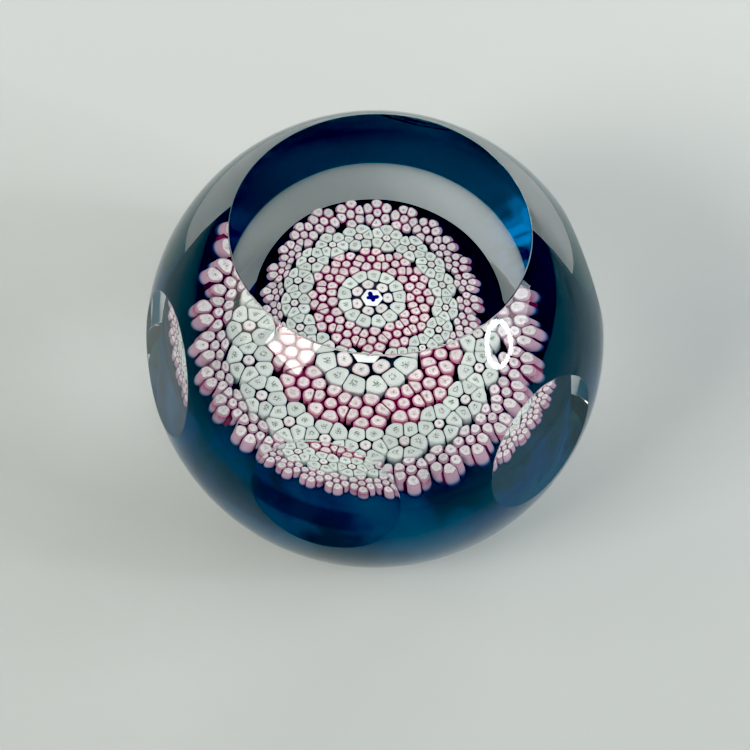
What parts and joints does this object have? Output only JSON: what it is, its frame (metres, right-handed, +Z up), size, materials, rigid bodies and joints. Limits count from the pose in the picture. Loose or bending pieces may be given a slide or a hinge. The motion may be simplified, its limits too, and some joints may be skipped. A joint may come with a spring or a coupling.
{
  "type": "glass paperweight",
  "caption": "Domed clear glass paperweight with flat windows cut in its top and sides, over a blue ground set with rings of pink and white glass canes.",
  "frame": {"origin": "centre of the flat base, on the axis of the dome", "axes": "+Z up from the base through the top window; a side window faces 19.7 degrees from +X towards +Y"},
  "size_m": [0.072, 0.0718, 0.0535],
  "materials": {
    "clear_crystal": "polished clear glass with cut flat windows",
    "blue_glass": "dark navy to teal glass, cloudy",
    "navy_opal": "solid dark blue glass",
    "white_opal": "solid white glass",
    "rose_cased_opal": "white glass rods cased in rose pink glass",
    "green_white_opal": "white glass petals with a faint green star in each"
  },
  "bodies": {
    "root": {"crystal_dome": "clear_crystal", "blue_ground": "blue_glass", "butterfly_motif": "navy_opal", "butterfly_rod": "white_opal", "centre_small_rods": "white_opal", "centre_rim_rods": "green_white_opal", "inner_pink_cane_01": "rose_cased_opal", "inner_pink_cane_02": "rose_cased_opal", "inner_pink_cane_03": "rose_cased_opal", "inner_pink_cane_04": "rose_cased_opal", "inner_pink_cane_05": "rose_cased_opal", "inner_pink_cane_06": "rose_cased_opal", "inner_pink_cane_07": "rose_cased_opal", "inner_pink_cane_08": "rose_cased_opal", "inner_pink_cane_09": "rose_cased_opal", "inner_pink_cane_10": "rose_cased_opal", "inner_pink_cane_11": "rose_cased_opal", "inner_pink_cane_12": "rose_cased_opal", "white_cane_01": "green_white_opal", "white_cane_02": "green_white_opal", "white_cane_03": "green_white_opal", "white_cane_04": "green_white_opal", "white_cane_05": "green_white_opal", "white_cane_06": "green_white_opal", "white_cane_07": "green_white_opal", "white_cane_08": "green_white_opal", "white_cane_09": "green_white_opal", "white_cane_10": "green_white_opal", "white_cane_11": "green_white_opal", "white_cane_12": "green_white_opal", "white_cane_13": "green_white_opal", "white_cane_14": "green_white_opal", "white_cane_15": "green_white_opal", "white_cane_16": "green_white_opal", "white_cane_17": "green_white_opal", "outer_pink_cane_01": "rose_cased_opal", "outer_pink_cane_02": "rose_cased_opal", "outer_pink_cane_03": "rose_cased_opal", "outer_pink_cane_04": "rose_cased_opal", "outer_pink_cane_05": "rose_cased_opal", "outer_pink_cane_06": "rose_cased_opal", "outer_pink_cane_07": "rose_cased_opal", "outer_pink_cane_08": "rose_cased_opal", "outer_pink_cane_09": "rose_cased_opal", "outer_pink_cane_10": "rose_cased_opal", "outer_pink_cane_11": "rose_cased_opal", "outer_pink_cane_12": "rose_cased_opal", "outer_pink_cane_13": "rose_cased_opal", "outer_pink_cane_14": "rose_cased_opal", "outer_pink_cane_15": "rose_cased_opal", "outer_pink_cane_16": "rose_cased_opal", "outer_pink_cane_17": "rose_cased_opal", "outer_pink_cane_18": "rose_cased_opal", "outer_pink_cane_19": "rose_cased_opal", "outer_pink_cane_20": "rose_cased_opal", "outer_pink_cane_21": "rose_cased_opal", "outer_pink_cane_22": "rose_cased_opal", "outer_pink_cane_23": "rose_cased_opal", "outer_pink_cane_24": "rose_cased_opal", "outer_pink_cane_25": "rose_cased_opal"}
  },
  "joints": []
}
